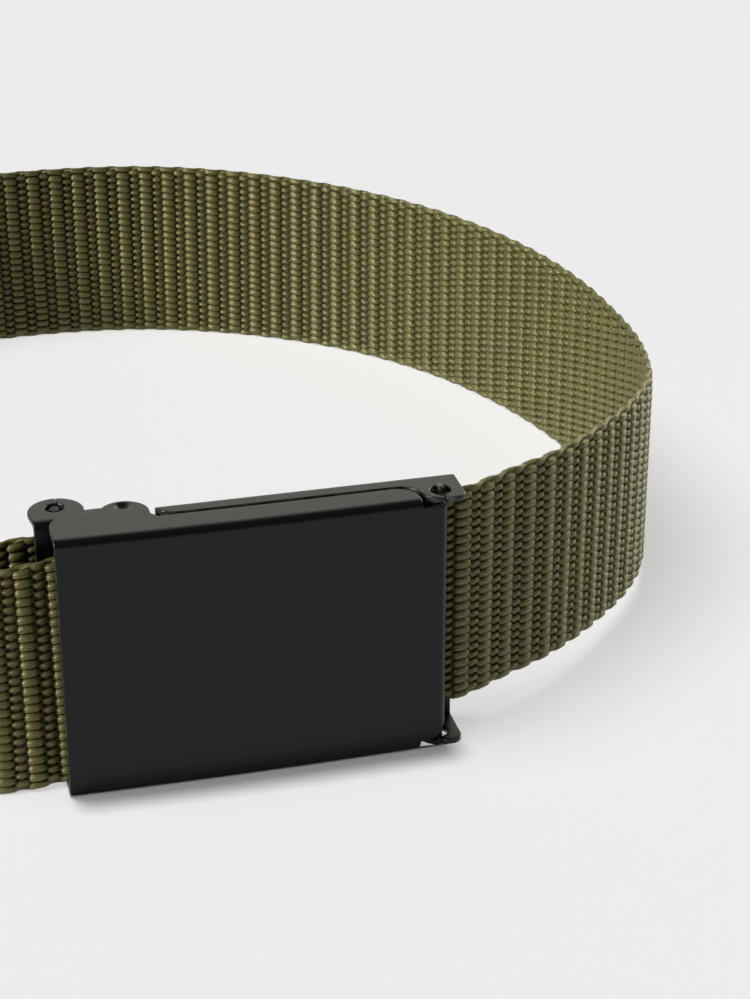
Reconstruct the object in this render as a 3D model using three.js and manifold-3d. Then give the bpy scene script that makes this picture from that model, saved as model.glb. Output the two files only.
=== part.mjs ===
// Webbing belt, closed and standing on its edge, with a flip-top buckle of folded sheet metal.
// Millimetres, +Z up. The buckle's face looks along -Y, and +X is to the right of somebody facing it.
// Every size is written from the middle of the buckle's face, and the finished group is then moved so that
// its origin is at the middle of its footprint.

import * as THREE from "three";
import { mergeVertices } from "three/addons/utils/BufferGeometryUtils.js";
import Module from "manifold-3d";

const wasm = await Module();
wasm.setup();

// Sheet metal of the buckle
const SHEET = 0.9;
const FOLD_RADIUS = 1.2;
const CLEARANCE = 0.3;

// A cutting outline runs past the sheet it cuts, and joined pieces are sunk a little into each other
const PAST = 2;
const SUNK = 0.05;

// Webbing
const STRAP_WIDTH = 35;
const STRAP_THICKNESS = 1.7;
const STRAP_CHAMFER = 0.45;
const STRAP_STEPS = 168;

// Cover: the face plate and its flanges
const BUCKLE_HEIGHT = 41;
const COVER_HALF_LENGTH = 28;
const COVER_CROWN = 0.4;
const COVER_FLANGE = { rear: 4.85, right: 24.2, leftRadius: 3.9, rightRadius: 3.4 };
const LOBE = { x: -17.2, y: 7.1, radius: 3.6, rear: 8.5, slopeRun: 0.9, slopeRise: 1.1 };
const DIMPLE = { y: 9.1, radius: 1.3, bottomRadius: 0.35, depth: 0.45, sides: 16 };
const FACE_CORNER = { lowRadius: 3.2, highRadius: 0.6 };
const FACE_STEP = 1.2;

// Hinge at the right end: flat tabs of the cover in the frame's ears, whose round holes are slit to the front
const HINGE = { x: 27.55, y: 2.9, hole: 1.5, slit: 1.4 };
const HIGH_TAB = { front: 0.45, rear: 4.05 };
const LOW_TAB = { front: 1.8, rear: 4.05 };
const TAB_SHORT = 0.15;
const LIP_REAR = 4.1;
const LIP_LOW = 3.4;

// Frame: back plate, strips and right ears
const BACK_FACE = 8.35;
const STRIP = { left: -12.7, front: 5.3, endRadius: 2.8 };
const EAR = { middle: 27.9, right: 30.85, front: 0.2, leftRadius: 3.4, rightRadius: 1.6, fillet: 3.3 };

// Frame: bridge and left ears, which hold the clamp bar and are slit to the rear
const BRIDGE = { left: -29.7, right: -14.5, front: 8.6, drop: 1.15, flangeRear: 11.6 };
const CLAMP = { x: -26.1, y: 12.3, radius: 4 };
const CLAMP_HOLE = { x: -26.15, y: 13.2, radius: 1.4, slit: 0.36, slitX: -25.6 };
const BAR = { halfLength: 1.45, front: 11.9, rear: 15.3, chamfer: 0.5, tabFront: 12.3, tabRear: 14.1 };
const JOGGLE_OVERLAP = 0.3;

// The slits cut only this far down from the top and up from the bottom, which is deeper than either ear lies
const SLIT_REACH = 2.2;

// Facets of round outlines and of folds, steps of a bulged web, and the depth that flanges are cut from
const CURVE_SEGMENTS = 10;
const FOLD_SEGMENTS = 5;
const CROWN_STEPS = 14;
const FLANGE_STOCK = 60;

const blackCoat = new THREE.MeshStandardMaterial({ color: 0x2a2b2b, roughness: 0.5, metalness: 0.35 });
const steel = new THREE.MeshStandardMaterial({ color: 0x3a3a39, roughness: 0.4, metalness: 0.8 });
const webbing = new THREE.MeshStandardMaterial({ color: 0x5b5a33, roughness: 0.85, metalness: 0 });

// A closed three.js geometry becomes a solid that can be joined and cut.
function solid(geometry) {
  const bare = geometry.clone();
  bare.deleteAttribute("normal");
  bare.deleteAttribute("uv");
  const merged = mergeVertices(bare, 1e-4);
  const mesh = new wasm.Mesh({
    numProp: 3,
    vertProperties: new Float32Array(merged.attributes.position.array),
    triVerts: new Uint32Array(merged.index.array),
  });
  return new wasm.Manifold(mesh);
}

function meshFrom(body, name, material) {
  const source = body.getMesh();
  const geometry = new THREE.BufferGeometry();
  geometry.setAttribute("position", new THREE.BufferAttribute(source.vertProperties, 3));
  geometry.setIndex(new THREE.BufferAttribute(source.triVerts, 1));
  geometry.computeVertexNormals();
  const mesh = new THREE.Mesh(geometry, material);
  mesh.name = name;
  return mesh;
}

function join(bodies) {
  return bodies.reduce((whole, body) => whole.add(body));
}

// A plan outline (x, y) that stands from one height to another.
function upright(shape, zLow, zHigh) {
  const geometry = new THREE.ExtrudeGeometry(shape, {
    depth: zHigh - zLow,
    bevelEnabled: false,
    curveSegments: CURVE_SEGMENTS,
  });
  geometry.translate(0, 0, zLow);
  return solid(geometry);
}

// A front outline (x, z) that runs back from one depth to another.
function frontal(shape, yFront, yRear) {
  const geometry = new THREE.ExtrudeGeometry(shape, {
    depth: yRear - yFront,
    bevelEnabled: false,
    curveSegments: CURVE_SEGMENTS,
  });
  geometry.rotateX(Math.PI / 2);
  geometry.translate(0, yRear, 0);
  return solid(geometry);
}

function box(xLow, xHigh, yLow, yHigh, zLow, zHigh) {
  const geometry = new THREE.BoxGeometry(xHigh - xLow, yHigh - yLow, zHigh - zLow);
  geometry.translate((xLow + xHigh) / 2, (yLow + yHigh) / 2, (zLow + zHigh) / 2);
  return solid(geometry);
}

// A flat tab in a round hole, as thick as the sheet along X.
function flatTab(x, front, rear, zLow, zHigh) {
  return box(x - SHEET / 2, x + SHEET / 2, front, rear, zLow, zHigh);
}

function polygon(points) {
  return new THREE.Shape(points.map(([x, y]) => new THREE.Vector2(x, y)));
}

function roundHole(shape, x, y, radius) {
  const hole = new THREE.Path();
  hole.absarc(x, y, radius, 0, 2 * Math.PI, true);
  shape.holes.push(hole);
}

// A sheet folded to a channel along X: a web from zLow to zHigh whose outer face is at webFace, and two
// flanges that go back from it (side 1) or forward (side -1). The web may bulge outwards by a crown.
function channel({ webFace, side, zLow, zHigh, xLow, xHigh, crown = 0 }) {
  const deep = FLANGE_STOCK;
  const inner = FOLD_RADIUS - SHEET;
  const profile = new THREE.Shape();
  profile.moveTo(deep, zLow);
  profile.lineTo(FOLD_RADIUS, zLow);
  profile.absarc(FOLD_RADIUS, zLow + FOLD_RADIUS, FOLD_RADIUS, -Math.PI / 2, Math.PI, true);
  profile.lineTo(0, zHigh - FOLD_RADIUS);
  profile.absarc(FOLD_RADIUS, zHigh - FOLD_RADIUS, FOLD_RADIUS, Math.PI, Math.PI / 2, true);
  profile.lineTo(deep, zHigh);
  profile.lineTo(deep, zHigh - SHEET);
  profile.lineTo(FOLD_RADIUS, zHigh - SHEET);
  profile.absarc(FOLD_RADIUS, zHigh - FOLD_RADIUS, inner, Math.PI / 2, Math.PI, false);
  profile.lineTo(SHEET, zLow + FOLD_RADIUS);
  profile.absarc(FOLD_RADIUS, zLow + FOLD_RADIUS, inner, Math.PI, 1.5 * Math.PI, false);
  profile.lineTo(deep, zLow + SHEET);
  profile.closePath();
  const geometry = new THREE.ExtrudeGeometry(profile, {
    depth: xHigh - xLow,
    steps: crown ? CROWN_STEPS : 1,
    bevelEnabled: false,
    curveSegments: FOLD_SEGMENTS,
  });
  const place = geometry.attributes.position;
  const middle = (xLow + xHigh) / 2;
  const half = (xHigh - xLow) / 2;
  for (let i = 0; i < place.count; i += 1) {
    const x = xLow + place.getZ(i);
    const bulge = crown * (1 - ((x - middle) / half) ** 2);
    place.setXYZ(i, x, webFace + side * (place.getX(i) - bulge), place.getY(i));
  }
  if (side < 0) swapCorners(geometry);
  return solid(geometry);
}

// Mirroring turns a shape inside out, so two corners of each triangle are swapped back.
function swapCorners(geometry) {
  const place = geometry.attributes.position;
  const a = new THREE.Vector3();
  const b = new THREE.Vector3();
  for (let i = 0; i < place.count; i += 3) {
    a.fromBufferAttribute(place, i);
    b.fromBufferAttribute(place, i + 1);
    place.setXYZ(i, b.x, b.y, b.z);
    place.setXYZ(i + 1, a.x, a.y, a.z);
  }
}

// Plan of the cover's flanges: rounded left end, snap lobe, straight rear edge, rounded right end.
function coverFlangePlan() {
  const left = -COVER_HALF_LENGTH;
  const { rear, right, leftRadius, rightRadius } = COVER_FLANGE;
  const lobeEnd = Math.PI - Math.asin((LOBE.rear - LOBE.y) / LOBE.radius);
  const shape = new THREE.Shape();
  shape.moveTo(left, -PAST);
  shape.lineTo(right, -PAST);
  shape.absarc(right - rightRadius, rear - rightRadius, rightRadius, 0, Math.PI / 2, false);
  shape.lineTo(LOBE.x + LOBE.radius + LOBE.slopeRun, rear);
  shape.lineTo(LOBE.x + LOBE.radius, rear + LOBE.slopeRise);
  shape.absarc(LOBE.x, LOBE.y, LOBE.radius, 0, lobeEnd, false);
  shape.absarc(left + leftRadius, LOBE.rear - leftRadius, leftRadius, Math.PI / 2, Math.PI, false);
  shape.closePath();
  return shape;
}

// Front outline of the face. Its right end is set back under the frame's ears, and its lower corner is round.
function faceOutline() {
  const left = -COVER_HALF_LENGTH;
  const right = COVER_HALF_LENGTH;
  const low = FACE_STEP;
  const high = BUCKLE_HEIGHT - FACE_STEP;
  const { lowRadius, highRadius } = FACE_CORNER;
  const shape = new THREE.Shape();
  shape.moveTo(left, low);
  shape.lineTo(right - lowRadius, low);
  shape.absarc(right - lowRadius, low + lowRadius, lowRadius, -Math.PI / 2, 0, false);
  shape.lineTo(right, high - highRadius);
  shape.absarc(right - highRadius, high - highRadius, highRadius, 0, Math.PI / 2, false);
  shape.lineTo(left, high);
  shape.closePath();
  return shape;
}

function makeCover() {
  const folded = channel({
    webFace: 0,
    side: 1,
    zLow: 0,
    zHigh: BUCKLE_HEIGHT,
    xLow: -COVER_HALF_LENGTH,
    xHigh: COVER_HALF_LENGTH,
    crown: COVER_CROWN,
  });
  const flanges = upright(coverFlangePlan(), -PAST, BUCKLE_HEIGHT + PAST);
  const face = frontal(faceOutline(), -PAST, FOLD_RADIUS);
  const sheet = folded.intersect(flanges.add(face));
  const lipLeft = HINGE.x - SHEET / 2;
  const lipRight = HINGE.x + SHEET / 2;
  const lipHigh = BUCKLE_HEIGHT - FACE_STEP - FACE_CORNER.highRadius;
  const lip = box(lipLeft, lipRight, SHEET / 2, LIP_REAR, LIP_LOW, lipHigh);
  const lowTab = flatTab(HINGE.x, LOW_TAB.front, LOW_TAB.rear, TAB_SHORT, LIP_LOW + SUNK);
  const highTab = flatTab(HINGE.x, HIGH_TAB.front, HIGH_TAB.rear, lipHigh - SUNK, BUCKLE_HEIGHT - TAB_SHORT);
  const dents = [0, BUCKLE_HEIGHT].map((z) => {
    const { radius, bottomRadius, depth, sides } = DIMPLE;
    const dent = new THREE.CylinderGeometry(radius, bottomRadius, 2 * depth, sides);
    dent.rotateX(z > 0 ? Math.PI / 2 : -Math.PI / 2);
    dent.translate(LOBE.x, DIMPLE.y, z);
    return solid(dent);
  });
  return join([sheet, lip, lowTab, highTab]).subtract(join(dents));
}

// Plan of the frame's right part: a narrow strip with a rounded left end, which runs into the hinge ear.
function stripPlan() {
  const { middle, right, front, leftRadius, rightRadius, fillet } = EAR;
  const { endRadius } = STRIP;
  const rise = STRIP.front - fillet - front - leftRadius;
  const turn = Math.asin(-rise / (fillet + leftRadius));
  const filletX = middle - (fillet + leftRadius) * Math.cos(turn);
  const shape = new THREE.Shape();
  shape.moveTo(STRIP.left, BACK_FACE);
  shape.absarc(STRIP.left + endRadius, STRIP.front + endRadius, endRadius, Math.PI, 1.5 * Math.PI, false);
  shape.absarc(filletX, STRIP.front - fillet, fillet, Math.PI / 2, turn, true);
  shape.absarc(middle, front + leftRadius, leftRadius, Math.PI + turn, 1.5 * Math.PI, false);
  shape.absarc(right - rightRadius, front + rightRadius, rightRadius, -Math.PI / 2, 0, false);
  shape.lineTo(right, BACK_FACE);
  shape.closePath();
  roundHole(shape, HINGE.x, HINGE.y, HINGE.hole);
  return shape;
}

// Plan of the bridge's flanges: a narrow ledge under the cover's lobe, and the round ear of the clamp bar.
function bridgePlan() {
  const shape = new THREE.Shape();
  const earRight = Math.asin((CLAMP.y - BRIDGE.flangeRear) / CLAMP.radius);
  shape.moveTo(BRIDGE.left, BRIDGE.front - PAST);
  shape.lineTo(BRIDGE.right, BRIDGE.front - PAST);
  shape.lineTo(BRIDGE.right, BRIDGE.flangeRear);
  shape.lineTo(CLAMP.x + CLAMP.radius * Math.cos(earRight), BRIDGE.flangeRear);
  shape.absarc(CLAMP.x, CLAMP.y, CLAMP.radius, -earRight, Math.PI, false);
  shape.closePath();
  roundHole(shape, CLAMP_HOLE.x, CLAMP_HOLE.y, CLAMP_HOLE.radius);
  return shape;
}

function makeFrame() {
  const low = BRIDGE.drop;
  const high = BUCKLE_HEIGHT - BRIDGE.drop;
  const right = channel({
    webFace: BACK_FACE,
    side: -1,
    zLow: 0,
    zHigh: BUCKLE_HEIGHT,
    xLow: STRIP.left,
    xHigh: EAR.right,
  });
  const past = BUCKLE_HEIGHT + PAST;
  const strips = upright(stripPlan(), -PAST, past);
  const plate = box(STRIP.left, EAR.right, BACK_FACE - FOLD_RADIUS, BACK_FACE + PAST, -PAST, past);
  const back = right.intersect(strips.add(plate));
  const left = channel({
    webFace: BRIDGE.front,
    side: 1,
    zLow: low,
    zHigh: high,
    xLow: BRIDGE.left - PAST,
    xHigh: BRIDGE.right,
  });
  const bridge = left.intersect(upright(bridgePlan(), low - PAST, high + PAST));
  const frontSlits = slits(HINGE.x, HINGE.slit, EAR.front - PAST, HINGE.y);
  const rearSlits = slits(CLAMP_HOLE.slitX, CLAMP_HOLE.slit, CLAMP_HOLE.y, CLAMP.y + CLAMP.radius + PAST);
  return join([back, bridge, joggle(low, high)]).subtract(join([frontSlits, rearSlits]));
}

// Slits through the lower and the upper ear of one end, from the hole's middle to past the ears' edge.
function slits(x, width, yFront, yRear) {
  const ears = [
    [-PAST, SLIT_REACH],
    [BUCKLE_HEIGHT - SLIT_REACH, BUCKLE_HEIGHT + PAST],
  ];
  return join(ears.map(([zLow, zHigh]) => box(x - width / 2, x + width / 2, yFront, yRear, zLow, zHigh)));
}

// The step in the sheet between the back plate and the bridge, which lies further back.
function joggle(low, high) {
  const right = STRIP.left + JOGGLE_OVERLAP;
  const left = BRIDGE.right - JOGGLE_OVERLAP;
  const outline = polygon([
    [right, BACK_FACE - SHEET + SUNK],
    [right, BACK_FACE - SUNK],
    [left, BRIDGE.front + SHEET - SUNK],
    [left, BRIDGE.front + SUNK],
  ]);
  return upright(outline, low + FOLD_RADIUS + SUNK, high - FOLD_RADIUS - SUNK);
}

// The clamp bar lies between the left ears, and its flat tabs end inside their holes.
function makeClampBar() {
  const inside = BRIDGE.drop + SHEET + CLEARANCE;
  const left = CLAMP.x - BAR.halfLength;
  const right = CLAMP.x + BAR.halfLength;
  const body = upright(
    polygon([
      [left, BAR.front],
      [right, BAR.front],
      [right, BAR.rear - BAR.chamfer],
      [right - BAR.chamfer, BAR.rear],
      [left + BAR.chamfer, BAR.rear],
      [left, BAR.rear - BAR.chamfer],
    ]),
    inside,
    BUCKLE_HEIGHT - inside,
  );
  const tabEnd = BRIDGE.drop + TAB_SHORT;
  const tabs = [
    [tabEnd, inside + SUNK],
    [BUCKLE_HEIGHT - inside - SUNK, BUCKLE_HEIGHT - tabEnd],
  ].map(([zLow, zHigh]) => flatTab(CLAMP_HOLE.x, BAR.tabFront, BAR.tabRear, zLow, zHigh));
  return join([body, ...tabs]);
}

// Route of the webbing's middle line, seen from above.
// low: height of the lower edge; lean: how far the upper edge stands out from the loop past the lower edge.
// The right half of the loop, from the far middle to the buckle's right end:
const LOOP_CENTRE = { x: -10, y: 90 };
const RIGHT_HALF = [
  { x: -10, y: 177.2, low: 0, lean: 2.4 },
  { x: 9, y: 175.4, low: 0, lean: 2.4 },
  { x: 24, y: 170.4, low: 0, lean: 2 },
  { x: 39, y: 161.7, low: 0, lean: 1 },
  { x: 52.5, y: 150.1, low: 0, lean: 0.2 },
  { x: 64.5, y: 134.5, low: 0, lean: 0 },
  { x: 73.3, y: 116, low: 0, lean: 0 },
  { x: 78.4, y: 97, low: 0, lean: 0 },
  { x: 80.1, y: 78, low: 0, lean: 0 },
  { x: 79, y: 60, low: 0.5, lean: 0 },
  { x: 74.6, y: 44.5, low: 1.6, lean: 0 },
  { x: 68.3, y: 34, low: 2.6, lean: 0 },
];
const RIGHT_NEAR = [
  { x: 60.8, y: 25.6, low: 3.3, lean: 0 },
  { x: 54, y: 19.1, low: 3.9, lean: 0 },
  { x: 47, y: 13.7, low: 4.4, lean: 0 },
  { x: 40.5, y: 10, low: 4.7, lean: 0 },
  { x: 35.5, y: 7.1, low: 4.8, lean: 0 },
  { x: 31.6, y: 5.3, low: 4.8, lean: 0 },
  { x: 27.5, y: 5.3, low: 4.6, lean: 0 },
];
const IN_BUCKLE = [
  { x: 16, y: 5.3, low: 4, lean: 0 },
  { x: 0, y: 5.3, low: 3, lean: 0 },
  { x: -14, y: 5.2, low: 2.1, lean: -0.2 },
  { x: -26, y: 4.9, low: 1.3, lean: -2.4 },
  { x: -36, y: 5.2, low: 0.6, lean: -2.2 },
  { x: -47, y: 7.3, low: 0.2, lean: -0.8 },
];
// The clamped side, from inside the buckle to the left bend; the free end lies against it further out.
const CLAMPED_END = [
  { x: -18.5, y: 10.7, low: 2.35, lean: 0 },
  { x: -27, y: 10.7, low: 2.35, lean: 0 },
  { x: -32.5, y: 10.72, low: 2.3, lean: 0 },
  { x: -37.5, y: 10.9, low: 1.9, lean: 0 },
  { x: -48, y: 11.8, low: 1.2, lean: 0 },
];
const LEFT_NEAR = [
  { x: -58.5, y: 14, low: 0.7, lean: 0 },
  { x: -69, y: 18.6, low: 0.4, lean: 0 },
  { x: -79.5, y: 25.3, low: 0.2, lean: 0 },
];
const TAIL_END = { x: -84.5, y: 30 };
const TAIL_GAP = 0.5;

// The left half is the right half mirrored, resting on its whole edge.
function leftHalf() {
  return RIGHT_HALF.slice(1)
    .reverse()
    .map((row) => ({ x: 2 * LOOP_CENTRE.x - row.x, y: row.y, low: 0, lean: row.lean }));
}

// Rows moved outwards from the loop's middle, so that the free end clears the clamped side.
function movedOut(rows, distance) {
  const centre = new THREE.Vector2(LOOP_CENTRE.x, LOOP_CENTRE.y);
  return rows.map((row) => {
    const outward = new THREE.Vector2(row.x, row.y).sub(centre).normalize().multiplyScalar(distance);
    return { ...row, x: row.x + outward.x, y: row.y + outward.y };
  });
}

function makeStrap() {
  const apart = STRAP_THICKNESS + TAIL_GAP;
  const tailEnd = { ...LEFT_NEAR[2], ...TAIL_END };
  const route = [
    ...CLAMPED_END,
    ...LEFT_NEAR,
    ...leftHalf(),
    ...RIGHT_HALF,
    ...RIGHT_NEAR,
    ...IN_BUCKLE,
    ...movedOut([...LEFT_NEAR, tailEnd], apart),
  ];
  const line = new THREE.CatmullRomCurve3(route.map((row) => new THREE.Vector3(row.x, row.y, row.low)));
  const leans = new THREE.CatmullRomCurve3(route.map((row, i) => new THREE.Vector3(i, 0, row.lean)));
  const half = STRAP_THICKNESS / 2;
  const chamfer = STRAP_CHAMFER;
  const section = [
    [-half + chamfer, 0],
    [half - chamfer, 0],
    [half, chamfer],
    [half, STRAP_WIDTH - chamfer],
    [half - chamfer, STRAP_WIDTH],
    [-half + chamfer, STRAP_WIDTH],
    [-half, STRAP_WIDTH - chamfer],
    [-half, chamfer],
  ];
  const points = [];
  for (let step = 0; step <= STRAP_STEPS; step += 1) {
    const t = line.getUtoTmapping(step / STRAP_STEPS);
    const middle = line.getPoint(t);
    const along = line.getTangent(t);
    const outward = new THREE.Vector2(-along.y, along.x).normalize();
    const lean = leans.getPoint(t).z;
    for (const [across, up] of section) {
      const off = across + lean * (up / STRAP_WIDTH - 0.5);
      points.push(middle.x + outward.x * off, middle.y + outward.y * off, Math.max(middle.z, 0) + up);
    }
  }
  const around = section.length;
  const faces = [];
  for (let step = 0; step < STRAP_STEPS; step += 1) {
    for (let i = 0; i < around; i += 1) {
      const a = step * around + i;
      const b = step * around + ((i + 1) % around);
      faces.push(a, b, a + around, b, b + around, a + around);
    }
  }
  const last = STRAP_STEPS * around;
  for (let i = 1; i < around - 1; i += 1) {
    faces.push(0, i + 1, i);
    faces.push(last, last + i, last + i + 1);
  }
  const geometry = new THREE.BufferGeometry();
  geometry.setAttribute("position", new THREE.Float32BufferAttribute(points, 3));
  geometry.setIndex(faces);
  geometry.computeVertexNormals();
  const mesh = new THREE.Mesh(geometry, webbing);
  mesh.name = "strap";
  return mesh;
}

const belt = new THREE.Group();
belt.add(makeStrap());
belt.add(meshFrom(makeCover(), "buckle_cover", blackCoat));
belt.add(meshFrom(makeFrame(), "buckle_frame", blackCoat));
belt.add(meshFrom(makeClampBar(), "clamp_bar", steel));

const bounds = new THREE.Box3().setFromObject(belt);
const footprint = bounds.getCenter(new THREE.Vector3());
belt.position.set(-footprint.x, -footprint.y, -bounds.min.z);

export default belt;
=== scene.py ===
import math

import bpy
import numpy as np
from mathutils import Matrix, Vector
from mathutils.geometry import delaunay_2d_cdt


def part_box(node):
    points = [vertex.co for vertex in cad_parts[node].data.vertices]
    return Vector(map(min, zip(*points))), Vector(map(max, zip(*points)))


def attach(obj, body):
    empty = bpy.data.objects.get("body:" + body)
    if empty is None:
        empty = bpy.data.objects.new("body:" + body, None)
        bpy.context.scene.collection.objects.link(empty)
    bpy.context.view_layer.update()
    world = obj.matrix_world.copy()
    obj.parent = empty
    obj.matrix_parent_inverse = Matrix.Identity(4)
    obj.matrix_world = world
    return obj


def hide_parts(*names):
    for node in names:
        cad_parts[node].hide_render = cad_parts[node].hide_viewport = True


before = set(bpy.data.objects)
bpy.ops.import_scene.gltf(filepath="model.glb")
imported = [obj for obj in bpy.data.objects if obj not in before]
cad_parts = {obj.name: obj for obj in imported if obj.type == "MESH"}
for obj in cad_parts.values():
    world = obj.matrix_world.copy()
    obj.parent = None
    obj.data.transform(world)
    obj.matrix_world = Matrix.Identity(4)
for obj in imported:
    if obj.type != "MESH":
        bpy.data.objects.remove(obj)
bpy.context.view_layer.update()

# Lengths are in millimetres, measured from the middle of the buckle's face, until a point is placed
MM = 0.001
HALF_TURN = math.pi
QUARTER = math.pi / 2

# Webbing
STRAP_WIDTH = 35
STRAP_THICKNESS = 1.7
CORE_WIDTH = 33.6
CORE_THICKNESS = 0.3
LINE_STEP = 0.5
ROUTE_SAMPLES = 12000

# Weave: two picks to a repeat, a thick one and a thin one, and warp yarns that cross between them.
# A yarn lies over the thick pick as a wide flat float, and over the thin one as a thin thread.
REPEAT = 4.56
WARP_YARNS = 50
YARNS_IN_A_PIECE = 13
FIRST_YARN_UP = 0.6
STEPS_PER_REPEAT = 8
YARN_SIDES = 6
THICK_RISE = 0.46
THIN_RISE = 0.4
FLOAT_DEEP = 0.33
FLOAT_WIDE = 0.74
THREAD_DEEP = 0.25
THREAD_WIDE = 0.46
CREST_FLATNESS = 0.62
FLOAT_FULLNESS = 0.6
SHOULDER_OUT = 0.17
CROSSING_IN = -0.22
YARN_END_TAPER = 0.7

# The last two yarns along each edge are rounder and rise less
EDGE_YARNS = 2
EDGE_YARN_WIDE = 0.62
EDGE_YARN_RISE = 0.5

# Yarns are a little uneven: how fast that changes along and between them, and how far they rise and wander
UNEVEN_ALONG = 700
UNEVEN_ACROSS = 7.3
UNEVEN_RISE = 0.22
UNEVEN_UP = 0.12

# Weft: it runs up one pick and down the next, and turns round at the webbing's edges
WEFT_TURN_HEIGHT = 17.2
WEFT_TURN_RISE = 0.55
WEFT_STRAIGHT_SHARE = 0.35
WEFT_STEPS = 14
WEFT_SIDES = 8
WEFT_WIDE = 0.66
WEFT_DEEP = 0.2
WEFT_ROUND = 0.27
WEFT_END_STEEPNESS = 5
WEFT_MAP_LENGTH = 7
# Painted light on the weft's inner side, and painted shade taken off the whole weft
WEFT_INNER_PAINTED_LIGHT = 0.4
WEFT_PAINTED_SHADE = 0.25

# A point that rounding puts this little before a pick belongs to it
PICK_GUARD = 0.0001

# Yarn points this close are one
YARN_WELD = 0.004

# Sheet metal
SHEET = 0.9
FOLD_RADIUS = 1.2
INNER_RADIUS = FOLD_RADIUS - SHEET
EDGE_RADIUS = 0.16
EDGE_SUPPORT = 0.12
FOLD_LENGTH = QUARTER * FOLD_RADIUS
FOLD_STEPS = 8
BRIDGE_FOLD_STEPS = 4
FOLD_SUPPORT = 0.25
ARC_POINTS = 14
CORNER_POINTS = 8

# Meshing a blank: the narrowest mitre, the gaps below which outline points and cut points are one, the share
# of a side that is too near its corner for a cut, the run of a side along a cut, and how far cuts run past
LEAST_MITRE = 0.4
DOUBLED_GAP = 1e-4
CUT_GAP = 1e-5
NEAR_CORNER = 0.002
NO_RUN = 1e-9
PAST_BLANK = 1

# Cover
BUCKLE_HEIGHT = 41
MIDDLE_UP = BUCKLE_HEIGHT / 2
COVER_HALF_LENGTH = 28
COVER_CROWN = 0.4
CROWN_CUTS = range(-26, 25, 4)
COVER_FLANGE = {"rear": 4.85, "right": 24.2, "left_radius": 3.9, "right_radius": 3.4}
LOBE = {"x": -17.2, "y": 7.1, "radius": 3.6, "rear": 8.5, "slope_run": 0.9, "slope_rise": 1.1}
DIMPLE = {"y": 9.1, "radius": 1.3, "depth": 0.62, "power": 1.5, "grid": 0.26, "cuts": 6}
FACE_CORNER_RADIUS = 3.2
FACE_STEP = 1.2
LIP_REAR = 4.1
LIP_REAR_SHORT = 0.4
LIP_MARGIN = 3.4
TAB_ROOT = 0.2
LOW_TAB_FRONT = 1.8
HIGH_TAB_FRONT = 2.3
TAB_REAR = 4.05
LOW_TAB_SHORT = 0.15
HIGH_TAB_PROUD = 0.5

# Frame
BACK_FACE = 8.35
STRIP = {"left": -12.7, "front": 5.3, "end_radius": 2.8}
EAR = {"middle": 27.9, "right": 30.85, "front": 0.2, "left_radius": 3.4, "right_radius": 1.6, "fillet": 3.3}
HINGE = {"x": 27.55, "y": 2.9, "hole": 1.5, "slit": (27.35, 27.75)}
BRIDGE = {"left": -29.7, "right": -14.5, "front": 8.6, "drop": 1.15, "flange_rear": 11.6}
CLAMP = {"x": -26.1, "y": 12.3, "radius": 4}
CLAMP_HOLE = {"x": -26.15, "y": 13.2, "hole": 1.4, "slit": (-25.62, -25.58)}

# Clamp bar
BAR_WELD = 0.002
BAR_EDGE = 0.12

# Camera, in millimetres and degrees
EYE = (-58.5, -291.9, 190.2)
LOOKING_DOWN = 26.16
TURNED_RIGHT = 14.53
LENS = 86.49

# Lights: name, where each one comes from, how wide it is in degrees, how strong, and its colour
WHITE = (1, 1, 1)
FLOOR_LIGHTS = [
    ("overhead", (-0.04, 0.09, 1), 7, 2.0, WHITE),
    ("overhead_from_left", (-0.42, -0.08, 1), 38, 1.15, WHITE),
]
BELT_LIGHTS = [
    ("key_from_left", (-0.88, -0.12, 0.46), 18, 5.2, WHITE),
    ("backdrop", (0.25, 0.87, 0.43), 80, 1.65, (1, 0.98, 0.9)),
    ("fill_from_right", (0.93, 0.45, 0.32), 50, 2.6, (1, 0.985, 0.72)),
]
ROOM_LIGHT = 0.06

# Floor: how far it reaches each way in metres
FLOOR_REACH = 6
FLOOR_GREY = (0.82, 0.82, 0.82, 1)

# Yarn finish: linear colours, twisted filaments, uneven dye, and painted shade that lightens towards the
# crest of a float
YARN_PAINTED_SHADE = (0.014, 0.013, 0.003, 1)
YARN_OLIVE = (0.055, 0.0515, 0.0125, 1)
YARN_PALE = (0.084, 0.080, 0.0215, 1)
YARN_SHEEN = (1, 0.92, 0.5, 1)
YARN_ROUGHNESS = 0.37
YARN_GLOSS = 0.9
YARN_BUMP = 0.06
TWISTS = {"along": 3, "round": 14, "height": 0.35}
FILAMENTS = {"along": 4, "round": 30}
YARN_SHADES = {"along": 0.15, "between": 5.7}
DYE_FINENESS = 90.0
DYE_SHARE = 0.6
CREST_PAINTED_LIGHT = 1.4
LEAST_PAINTED_LIGHT = 0.35

# The webbing's inside, coloured dark as painted shade, which only shows between the yarns
INSIDE_PAINTED_SHADE = (0.012, 0.011, 0.003, 1)
INSIDE_PAINTED_SHADE_PALE = (0.020, 0.018, 0.005, 1)
INSIDE_FINENESS = 700.0

# Matt black finishes of the sheet metal and of the bar: colour, rubbed colour, and roughness
COAT = ((0.0022, 0.0034, 0.0030, 1), (0.045, 0.043, 0.040, 1), 0.3)
BAR_STEEL = ((0.005, 0.005, 0.0045, 1), (0.09, 0.088, 0.082, 1), 0.5)
COAT_GRAIN = 5200.0
COAT_CLOUDS = 60.0
COAT_UNEVEN = 0.08
COAT_GLOSS = 0.25
COAT_BUMP = 0.012
RUBBED = {"fineness": 900.0, "contrast": 2.2, "less": 0.7, "smoother": 0.06}

cover_low, cover_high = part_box("buckle_cover")
SHIFT_X = (cover_low.x + cover_high.x) / 2 / MM
SHIFT_Y = cover_low.y / MM + COVER_CROWN


def placed(x, y, z):
    return ((x + SHIFT_X) * MM, (y + SHIFT_Y) * MM, z * MM)


# Camera

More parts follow.
